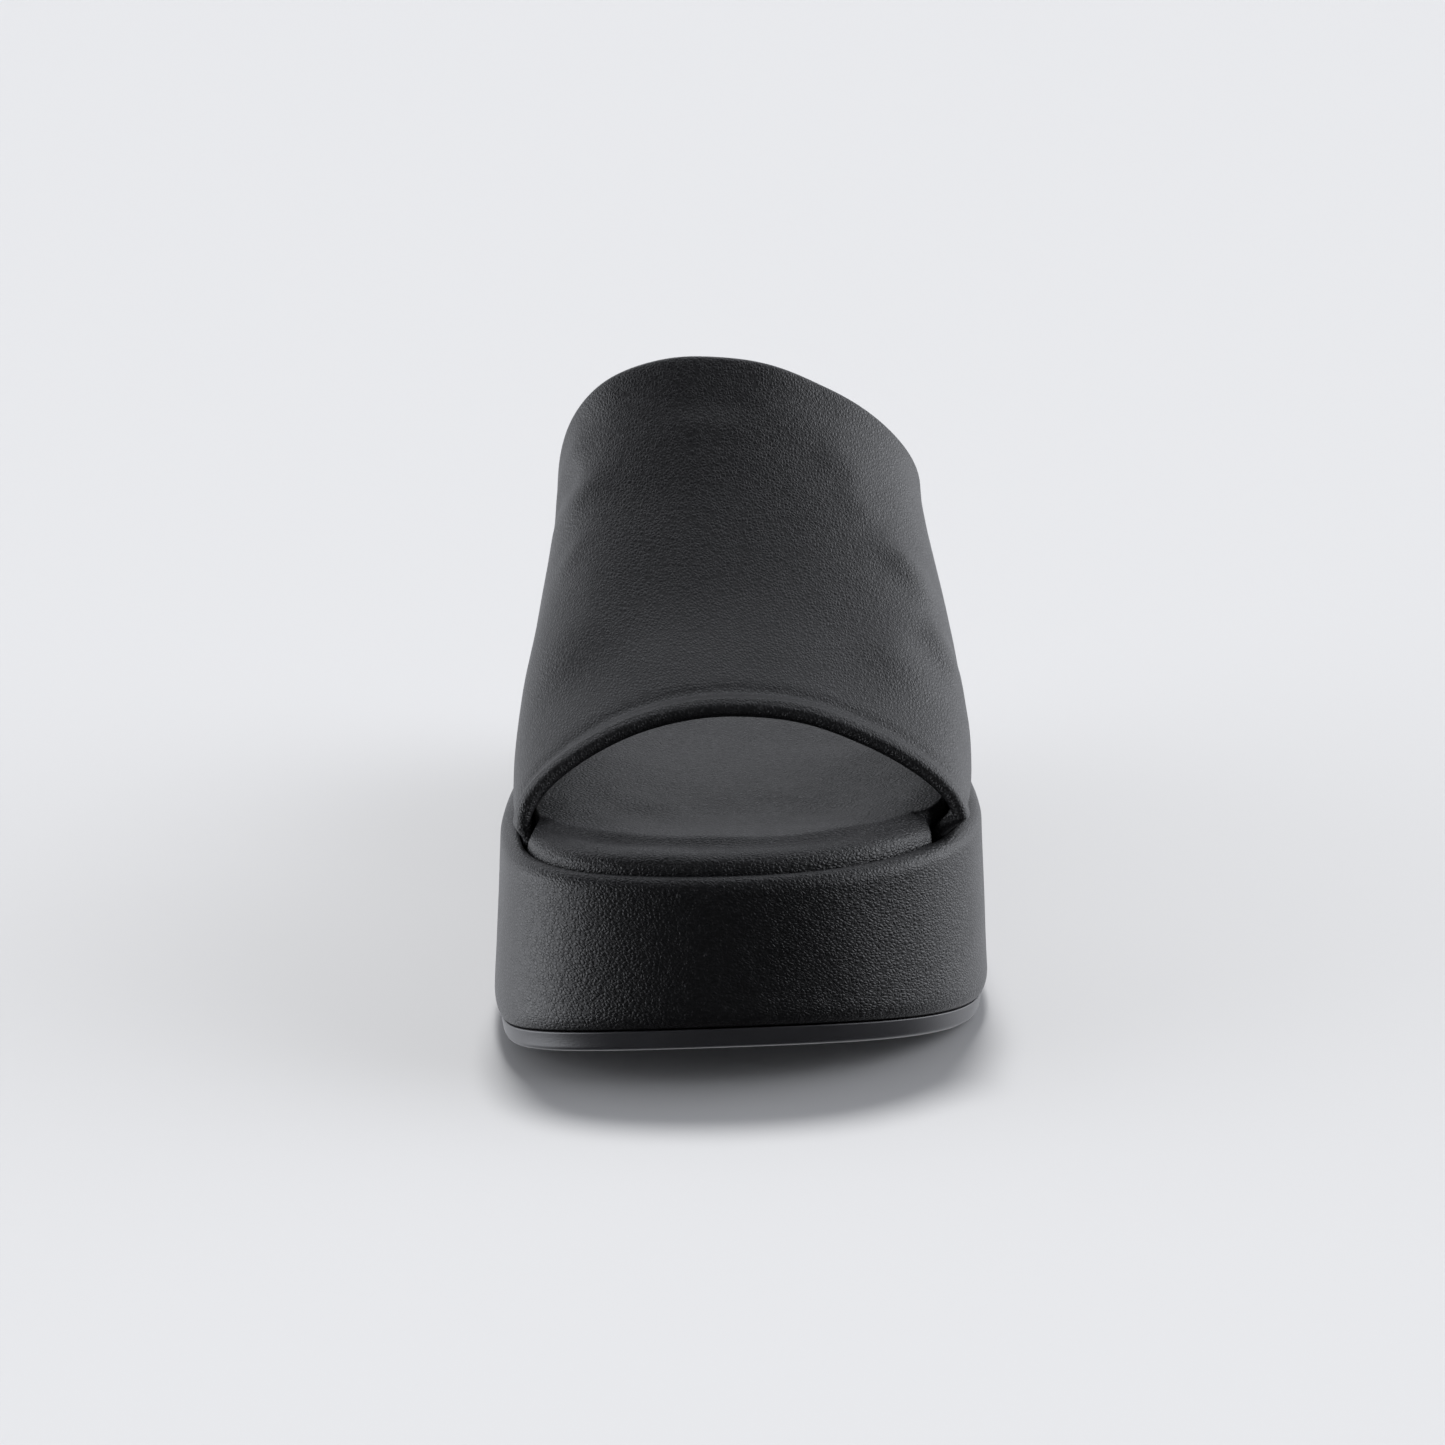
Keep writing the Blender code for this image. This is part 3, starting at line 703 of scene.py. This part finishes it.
wrap_leather = black_leather(
    "black_wrap_leather",
    colour=(0.005, 0.005, 0.006),
    roughness=0.36,
    gloss=0.6,
    grain=0.00062,
    lie=(0, 18, 0),
    stretch=(1.4, 1.4, 0.9),
    depth=0.00008,
)
platform_list = platform_rings()
platform_points = np.concatenate(platform_list)
platform_points = waved(
    platform_points,
    WRAP_WAVE_SIZE,
    WRAP_WAVE_HEIGHT,
    WRAP_WAVE_SEED,
    side_push(platform_points, len(platform_list)),
)
platform = new_piece(
    "platform_wrap",
    placed(platform_points),
    ring_faces(RING_POINTS, len(platform_list)),
    [wrap_leather],
)
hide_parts("platform")


# Insole
# A padded sock of thin black leather over foam. It has a soft roll round its edge and a raised,
# lightly dished bed in the shape of the foot, and it is cut narrower beside the upper's walls.

FEATHER_INSET = RIM_INSET + GAP
UPPER_WALL = 0.0024
UPPER_EDGE_ROLL = 0.0030
TOE_EDGE_MEDIAL = 0.0280
TOE_EDGE_TOP = 0.0405
TOE_EDGE_LATERAL = 0.0335
COLLAR_MEDIAL = 0.1370
COLLAR_TOP = 0.1190
COLLAR_LATERAL = 0.1340
TOE_EDGE_SWEEP = 2.0
COLLAR_SWEEP = 0.9
PAD_STEP_LEAD = 0.0033
PAD_STEP_RUN = 0.0018
PAD_SEAM_DROP = 0.0010
PAD_ROLL_HEIGHT = 0.0035
PAD_ROLL_WIDTH = 0.0055
PAD_ROLL_FALL = 0.0080
PAD_FULLNESS = 2.6
PAD_VALLEY_HEIGHT = 0.0020
BED_HEIGHT = 0.0047
BED_FRONT = 0.0125
BED_OVERRUN = 0.0030
BED_SEAT_INSET = 0.0085
BED_NARROW_START = 0.085
BED_NARROW_END = 0.145
BED_EDGE = 0.0060
BED_DISH = 0.0016
BED_BLEND = 0.0014
BED_MEDIAL_DEPTH = 0.030
BED_LATERAL_DEPTH = 0.048
BED_CREST_SHIFT = -0.005
SOCK_SOLE_SHARES = (0.85, 0.5, 0.2)
ROLL_SHARES = (0.006, 0.26, 30)
BED_SHARES = (0.27, 0.97, 34)
EDGE_SKIP = 6
SOCK_WAVE_SIZE = 0.012
SOCK_WAVE_HEIGHT = 0.00035
SOCK_WAVE_SEED = 8.4


def upper_cover(points):
    """1 where the upper stands beside the insole, 0 at the toe and at the heel."""
    lateral = points[:, 0] > 0
    front = np.where(lateral, TOE_EDGE_LATERAL, TOE_EDGE_MEDIAL) - PAD_STEP_LEAD
    end = np.where(lateral, COLLAR_LATERAL, COLLAR_MEDIAL) + UPPER_WALL
    back = points[:, 1]
    return ease(back, front, front + PAD_STEP_RUN) * (1 - ease(back, end, end + UPPER_EDGE_ROLL))


beside_wall = UPPER_WALL + GAP
cover = upper_cover(inset_outline(FEATHER_INSET + beside_wall))
INSOLE_EDGE = inset_outline(FEATHER_INSET + cover * beside_wall)


def edge_distance(x, back):
    """How far points of the insole lie from its edge."""
    points = np.column_stack([x, back])
    apart = points[:, None, :] - INSOLE_EDGE[None, ::EDGE_SKIP, :]
    return np.sqrt((apart**2).sum(axis=2).min(axis=1))


def bed_depth(x, back):
    """How far points lie inside the foot-shaped bed, whose front is a rounded U."""
    lateral = x > BED_CREST_SHIFT
    half_bed = HALF_WIDTH - FEATHER_INSET + BED_OVERRUN
    reach = np.where(lateral, half_bed - BED_CREST_SHIFT, half_bed + BED_CREST_SHIFT)
    share = np.clip(np.abs(x - BED_CREST_SHIFT) / reach, 0, 1)
    depth = np.where(lateral, BED_LATERAL_DEPTH, BED_MEDIAL_DEPTH)
    front = BED_FRONT + depth * (1 - np.sqrt(1 - share**2))
    narrow = (BED_SEAT_INSET + BED_OVERRUN) * ease(back, BED_NARROW_START, BED_NARROW_END)
    return np.minimum(back - front, edge_distance(x, back) + BED_OVERRUN - narrow)


def insole_top(x, back):
    """Height of the insole: the roll at its edge, the valley behind it and the raised bed."""
    inside = edge_distance(x, back)
    share = np.clip(inside / PAD_ROLL_WIDTH, 0, 1)
    climb = (1 - (1 - share) ** PAD_FULLNESS) ** (1 / PAD_FULLNESS)
    roll = -PAD_SEAM_DROP + (PAD_SEAM_DROP + PAD_ROLL_HEIGHT) * climb
    fall = ease(inside, PAD_ROLL_WIDTH, PAD_ROLL_WIDTH + PAD_ROLL_FALL)
    roll = roll - (PAD_ROLL_HEIGHT - PAD_VALLEY_HEIGHT) * fall
    depth = bed_depth(x, back)
    bed = BED_HEIGHT * ease(depth, -BED_EDGE, BED_EDGE / 2)
    bed = bed - BED_DISH * ease(depth, BED_EDGE / 2, 4 * BED_EDGE)
    blend = np.clip(0.5 + (bed - roll) / BED_BLEND / 2, 0, 1)
    rounded = BED_BLEND * blend * (1 - blend)
    return rim_height(x, back) + bed * blend + roll * (1 - blend) + rounded


def insole_rings():
    """Rings from the middle of the sock's underside, up its edge and over its top."""
    sole = raised(tray_floor, GAP)
    edge = INSOLE_EDGE[:: OUTLINE_SAMPLES // RING_POINTS]
    base = np.column_stack([edge, sole(edge[:, 0], edge[:, 1])])
    seam = np.column_stack([edge, rim_height(edge[:, 0], edge[:, 1]) - PAD_SEAM_DROP])
    rings = [shrunk(base, share, sole) for share in SOCK_SOLE_SHARES] + [base, seam]
    shares = np.concatenate([np.linspace(*ROLL_SHARES), np.linspace(*BED_SHARES)])
    return rings + [shrunk(seam, share, insole_top) for share in shares]


sock_leather = black_leather(
    "black_sock_leather",
    colour=(0.007, 0.007, 0.008),
    roughness=0.37,
    gloss=0.6,
    grain=0.00062,
    lie=(0, 0, 20),
    stretch=(1.4, 1.0, 1.0),
    depth=0.00009,
)
insole_list = insole_rings()
insole_points = np.concatenate(insole_list)
still_rings = len(SOCK_SOLE_SHARES) + 2
on_top = [0.0] * still_rings + [1.0] * (len(insole_list) - still_rings)
on_top = np.repeat(on_top, RING_POINTS)
up = np.column_stack([np.zeros((len(insole_points), 2)), on_top])
insole_points = waved(insole_points, SOCK_WAVE_SIZE, SOCK_WAVE_HEIGHT, SOCK_WAVE_SEED, up)
insole = new_piece(
    "insole_sock",
    placed(insole_points),
    ring_faces(RING_POINTS, len(insole_list)),
    [sock_leather],
)
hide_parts("insole")


# Upper
# One wide band of soft black leather over the foot, lined with thin black leather. Its toe edge
# and collar are folded round and glued, and its sides go down into the slot beside the insole.

INSTEP_HEIGHT = 0.1156
INSTEP_RISE = INSTEP_HEIGHT - FOREFOOT_HEIGHT
RIDGE_FULL = 2.05
RIDGE_START = 0.9
UPPER_ROLL_REACH = 0.0060
UPPER_STEPS_ACROSS = 250
UPPER_STEPS_ALONG = 140
EDGE_ROLL_STEPS = 10
FOLDED_EDGE = 0.008
FOOT_FADE = 0.10
ARCH_END = 0.001
TOE_BEAD = dict(place=0.0016, width=0.0018, height=0.00050)
TOE_TROUGH = dict(place=0.0055, width=0.0022, height=-0.00040)
BAND_WAVE_SIZE = 0.016
BAND_WAVE_HEIGHT = 0.00028
FOLD_PIECES = 12
FOLD_TAPER = 0.4

SECTIONS = (
    dict(
        back=0.105, rise=0.262, waist=0.040, ridge=0.00,
        medial=0.880, lateral=0.885, medial_full=2.00, lateral_full=1.80,
    ),
    dict(
        back=0.159, rise=0.313, waist=0.048, ridge=-0.02,
        medial=0.908, lateral=0.915, medial_full=2.00, lateral_full=1.80,
    ),
    dict(
        back=0.223, rise=0.402, waist=0.085, ridge=-0.05,
        medial=0.915, lateral=0.945, medial_full=2.20, lateral_full=1.95,
    ),
    dict(
        back=0.283, rise=0.508, waist=0.150, ridge=-0.09,
        medial=0.900, lateral=0.940, medial_full=2.45, lateral_full=2.10,
    ),
    dict(
        back=0.342, rise=0.638, waist=0.220, ridge=-0.12,
        medial=0.865, lateral=0.908, medial_full=2.45, lateral_full=2.15,
    ),
    dict(
        back=0.402, rise=0.790, waist=0.340, ridge=-0.15,
        medial=0.822, lateral=0.864, medial_full=2.35, lateral_full=2.00,
    ),
    dict(
        back=0.472, rise=0.995, waist=0.560, ridge=-0.18,
        medial=0.774, lateral=0.782, medial_full=2.20, lateral_full=1.75,
    ),
    dict(
        back=0.550, rise=1.220, waist=0.750, ridge=-0.19,
        medial=0.745, lateral=0.758, medial_full=2.10, lateral_full=1.75,
    ),
)

# Soft folds in the leather, each a line through points on the band: along runs from the toe edge
# to the collar, and turn over the foot from 0, the outer side, to pi. Width is half a fold's own,
# and a positive height is a ridge, a negative one a trough.
FOLDS = (
    dict(
        place="outer instep, first",
        line=((0.840, 1.20), (0.821, 1.08), (0.780, 0.97)),
        width=0.0045, height=0.00040,
    ),
    dict(
        place="outer instep, second",
        line=((0.760, 1.14), (0.729, 1.04), (0.685, 0.95)),
        width=0.0038, height=0.00032,
    ),
    dict(
        place="outer side, main",
        line=((0.665, 1.03), (0.629, 0.86), (0.600, 0.76), (0.520, 0.60)),
        width=0.0046, height=0.00105,
    ),
    dict(
        place="below the main one",
        line=((0.600, 1.02), (0.570, 0.88), (0.520, 0.72)),
        width=0.0050, height=-0.00020,
    ),
    dict(
        place="outer side, low",
        line=((0.480, 0.78), (0.446, 0.58), (0.350, 0.42)),
        width=0.0046, height=0.00095,
    ),
    dict(
        place="below the low one",
        line=((0.420, 0.84), (0.385, 0.68), (0.310, 0.53)),
        width=0.0050, height=-0.00020,
    ),
    dict(
        place="outer vamp",
        line=((0.370, 1.04), (0.300, 0.84), (0.215, 0.66)),
        width=0.0065, height=0.00050,
    ),
    dict(
        place="inner collar",
        line=((0.960, 2.10), (0.912, 2.20), (0.870, 2.26)),
        width=0.0042, height=0.00045,
    ),
    dict(
        place="inner notch",
        line=((0.840, 2.12), (0.855, 2.33), (0.870, 2.58)),
        width=0.0042, height=-0.00085,
    ),
    dict(
        place="inner side, high",
        line=((0.800, 1.98), (0.771, 2.16), (0.740, 2.36)),
        width=0.0034, height=0.00055,
    ),
    dict(
        place="inner side, middle",
        line=((0.665, 2.10), (0.620, 2.22), (0.570, 2.38)),
        width=0.0030, height=0.00035,
    ),
    dict(
        place="inner vamp",
        line=((0.440, 2.12), (0.358, 2.31), (0.260, 2.47)),
        width=0.0060, height=0.00035,
    ),
    dict(
        place="below the collar's top",
        line=((0.900, 1.84), (0.900, 1.55), (0.900, 1.32)),
        width=0.0040, height=-0.00024,
    ),
    dict(
        place="under that",
        line=((0.845, 1.78), (0.843, 1.55), (0.845, 1.36)),
        width=0.0034, height=0.00016,
    ),
)


def section_column(name):
    """One column of the sections as a function of back."""
    stations = [row["back"] * SHOE_LENGTH for row in SECTIONS]
    return spline(stations, [row[name] for row in SECTIONS])


COLUMN = {name: section_column(name) for name in SECTIONS[0] if name != "back"}
FEATHER_MEDIAL = side_edge(FEATHER_INSET, -1)
FEATHER_LATERAL = side_edge(FEATHER_INSET, 1)


def upper_point(back, turn):
    """The upper's outer surface. Turn runs over the arch from 0, the outer side, to pi."""
    lateral = turn < math.pi / 2
    side = np.where(lateral, 1.0, -1.0)
    from_foot = np.where(lateral, turn, math.pi - turn)
    foot = rim_height(0, back)
    top = FOREFOOT_HEIGHT + COLUMN["rise"](back) * INSTEP_RISE
    waist = FOREFOOT_HEIGHT + COLUMN["waist"](back) * INSTEP_RISE
    ridge = COLUMN["ridge"](back) * HALF_WIDTH
    widest = side * np.where(lateral, COLUMN["lateral"](back), COLUMN["medial"](back)) * HALF_WIDTH
    feather = np.where(lateral, FEATHER_LATERAL(back), FEATHER_MEDIAL(back))
    waist_turn = math.pi / 2 * (waist - foot) / (top - foot + np.abs(widest - ridge))
    low = np.clip(from_foot / waist_turn, 0, 1)
    arc = np.clip((from_foot - waist_turn) / (math.pi / 2 - waist_turn), 0, 1) * math.pi / 2
    full = np.where(lateral, COLUMN["lateral_full"](back), COLUMN["medial_full"](back))
    full = full + (RIDGE_FULL - full) * ease(arc, RIDGE_START, math.pi / 2)
    x_high = ridge + (widest - ridge) * np.cos(arc) ** (2 / full)
    z_high = waist + (top - waist) * np.sin(arc) ** (2 / full)
    x_low = feather + (widest - feather) * ease(low, 0, 1)
    below = from_foot < waist_turn
    x = np.where(below, x_low, x_high)
    return np.stack([x, back, np.where(below, foot + (waist - foot) * low, z_high)], axis=-1)


def edge_line(lateral, top, medial, sweep, turn):
    """Back of an edge that runs over the arch through its two ends and its top."""
    ends = np.where(np.cos(turn) > 0, lateral, medial)
    return ends + (top - ends) * np.sin(turn) ** sweep


def upper_surface(along, turn):
    """The outer surface between the toe edge, along 0, and the collar, along 1."""
    toe = edge_line(TOE_EDGE_LATERAL, TOE_EDGE_TOP, TOE_EDGE_MEDIAL, TOE_EDGE_SWEEP, turn)
    collar = edge_line(COLLAR_LATERAL, COLLAR_TOP, COLLAR_MEDIAL, COLLAR_SWEEP, turn)
    return upper_point(toe + (collar - toe) * along, turn)


def unit(vectors):
    """Vectors of the same ways with length 1."""
    return vectors / np.linalg.norm(vectors, axis=-1, keepdims=True)


def fold_heights(points):
    """How far the folds in the leather push each point out."""
    height = np.zeros(points.shape[:-1])
    for fold in FOLDS:
        along, turn = np.array(fold["line"]).T
        stations = np.arange(len(along))
        fine = np.linspace(0, len(along) - 1, FOLD_PIECES + 1)
        line = upper_surface(spline(stations, along)(fine), spline(stations, turn)(fine))
        nearest = np.full(points.shape[:-1], 1.0)
        way = np.zeros_like(nearest)
        for k, (start, end) in enumerate(zip(line, line[1:])):
            run = end - start
            share = np.clip(((points - start) @ run) / (run @ run), 0, 1)
            distance = np.linalg.norm(points - start - share[..., None] * run, axis=-1)
            way = np.where(distance < nearest, (k + share) / FOLD_PIECES, way)
            nearest = np.minimum(nearest, distance)
        taper = ease(way, 0, FOLD_TAPER) * (1 - ease(way, 1 - FOLD_TAPER, 1))
        height += fold["height"] * taper * np.exp(-((nearest / fold["width"]) ** 2))
    return height


def toe_line_height(to_toe):
    """How far the bead and the trough along the toe edge push the skin, by distance from it."""
    height = np.zeros_like(to_toe)
    for line in (TOE_BEAD, TOE_TROUGH):
        height += line["height"] * np.exp(-(((to_toe - line["place"]) / line["width"]) ** 2))
    return height


def upper_loops():
    """Closed loops round the wall, one for each step over the foot, with a low one at each end.

    A loop has the skin from toe to collar, the collar's roll, the lining and the toe edge's roll.
    """
    along, turn = np.meshgrid(
        np.linspace(0, 1, UPPER_STEPS_ALONG + 1),
        np.linspace(ARCH_END, math.pi - ARCH_END, UPPER_STEPS_ACROSS + 1),
    )
    outer = upper_surface(along, turn)
    step = 2e-4
    run = unit(upper_surface(along + step, turn) - upper_surface(along - step, turn))
    over = unit(upper_surface(along, turn + step) - upper_surface(along, turn - step))
    normal = unit(np.cross(run, over))
    length = np.linalg.norm(outer[:, -1] - outer[:, 0], axis=-1)[:, None]
    to_edge = np.minimum(along, 1 - along) * length
    foot = ease(np.minimum(turn, math.pi - turn), 0.0, FOOT_FADE)
    roll = (UPPER_EDGE_ROLL - UPPER_WALL) * (1 - ease(to_edge, 0, UPPER_ROLL_REACH)) * foot
    half_wall = (UPPER_WALL + roll)[..., None] / 2
    waves = [noise.noise(Vector(p) / BAND_WAVE_SIZE) for p in outer.reshape(-1, 3)]
    soft = np.reshape(waves, along.shape) * BAND_WAVE_HEIGHT
    push = (fold_heights(outer) + soft + toe_line_height(along * length)) * foot
    middle = outer + normal * (push[..., None] - UPPER_WALL / 2)
    skin, lining = middle + normal * half_wall, middle - normal * half_wall
    angles = math.pi * np.arange(1, EDGE_ROLL_STEPS) / EDGE_ROLL_STEPS
    loops = []
    for k in range(len(outer)):
        rounds = []
        for end, way in ((-1, 1), (0, -1)):
            lean = np.outer(np.cos(angles), normal[k, end]) + np.outer(np.sin(angles), run[k, end])
            rounds.append(middle[k, end] + way * lean * half_wall[k, end])
        loops.append(np.concatenate([skin[k], rounds[0], lining[k, ::-1], rounds[1]]))
    feet = []
    for loop in (loops[0], loops[-1]):
        low = tray_floor(loop[:, 0], loop[:, 1]) + GAP
        feet.append(np.column_stack([loop[:, :2], low]))
    return np.array([feet[0], *loops, feet[1]])


def upper_mesh():
    """Points, faces and face materials of the band. The skin is folded round both edges."""
    loops = upper_loops()
    count, rungs = loops.shape[1], UPPER_STEPS_ALONG + 1
    lining_start = rungs + EDGE_ROLL_STEPS - 1
    lining_end = lining_start + rungs
    over_foot = loops[len(loops) // 2]
    folded = int(FOLDED_EDGE / np.linalg.norm(over_foot[rungs // 2 + 1] - over_foot[rungs // 2]))
    faces, face_materials = [], []
    for k in range(len(loops) - 1):
        low, high = k * count, (k + 1) * count
        for i in range(count):
            j = (i + 1) % count
            faces.append((low + i, low + j, high + j, high + i))
            inside = lining_start + folded <= i < lining_end - folded
            face_materials.append(1 if inside else 0)
    for base, flip in ((0, True), ((len(loops) - 1) * count, False)):
        skin_row = [base + i for i in range(rungs)]
        lining_row = [base + i for i in range(lining_start, lining_end)][::-1]
        caps = [
            (skin_row[i], skin_row[i + 1], lining_row[i + 1], lining_row[i])
            for i in range(rungs - 1)
        ]
        caps.append((skin_row[-1], *range(base + rungs, base + lining_start), lining_row[-1]))
        caps.append((lining_row[0], *range(base + lining_end, base + count), skin_row[0]))
        faces += [cap[::-1] if flip else cap for cap in caps]
        face_materials += [0] * len(caps)
    return loops.reshape(-1, 3), faces, face_materials


upper_leather = black_leather(
    "black_upper_leather",
    colour=(0.006, 0.006, 0.007),
    roughness=0.37,
    gloss=0.6,
    grain=0.00062,
    lie=(30, 20, 20),
    stretch=(1.0, 1.4, 1.0),
    depth=0.00007,
)
lining_leather = black_leather(
    "black_lining_leather",
    colour=(0.010, 0.010, 0.011),
    roughness=0.60,
    gloss=0.4,
    grain=0.0011,
    lie=(0, 0, 0),
    stretch=(1.0, 1.0, 1.0),
    depth=0.00006,
)
upper_points, upper_faces, upper_slots = upper_mesh()
upper = new_piece(
    "upper_band", placed(upper_points), upper_faces, [upper_leather, lining_leather], upper_slots
)
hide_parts("upper")
